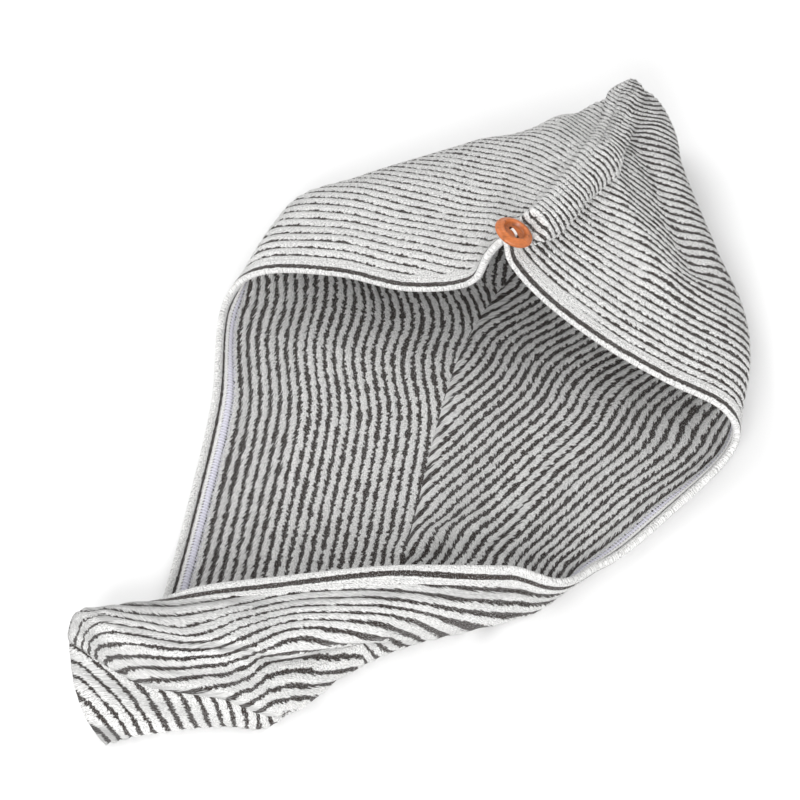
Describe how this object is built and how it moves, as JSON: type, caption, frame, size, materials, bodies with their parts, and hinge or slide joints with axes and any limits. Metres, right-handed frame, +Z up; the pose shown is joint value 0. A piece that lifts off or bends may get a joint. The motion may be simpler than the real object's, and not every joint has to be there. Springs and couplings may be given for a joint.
{
  "type": "hair turban towel",
  "caption": "Ribbed terry hair turban lying open: a hood sewn from two mirrored panels, hemmed round the head opening, with a twisted tail folded across the front and a wooden button at the nape.",
  "frame": {"origin": "on the surface that the towel lies on, under the open hood, where the cloth is flat", "axes": "+X to the picture's right, +Y away from the viewer towards the peak, +Z up"},
  "size_m": [0.3888, 0.4624, 0.1065],
  "materials": {
    "left_terry": "ribbed looped pile, white with fine dark stripes",
    "right_terry": "ribbed looped pile, white with fine dark stripes",
    "left_binding": "turned hem, white",
    "right_binding": "turned hem, white",
    "button_wood": "satin lacquer over orange-brown wood",
    "sewing_thread": "matte thread"
  },
  "bodies": {
    "root": {"left_panel": "left_terry", "right_panel": "right_terry", "left_hem": "left_binding", "right_hem": "right_binding", "button": "button_wood", "button_thread": "sewing_thread"}
  },
  "joints": []
}
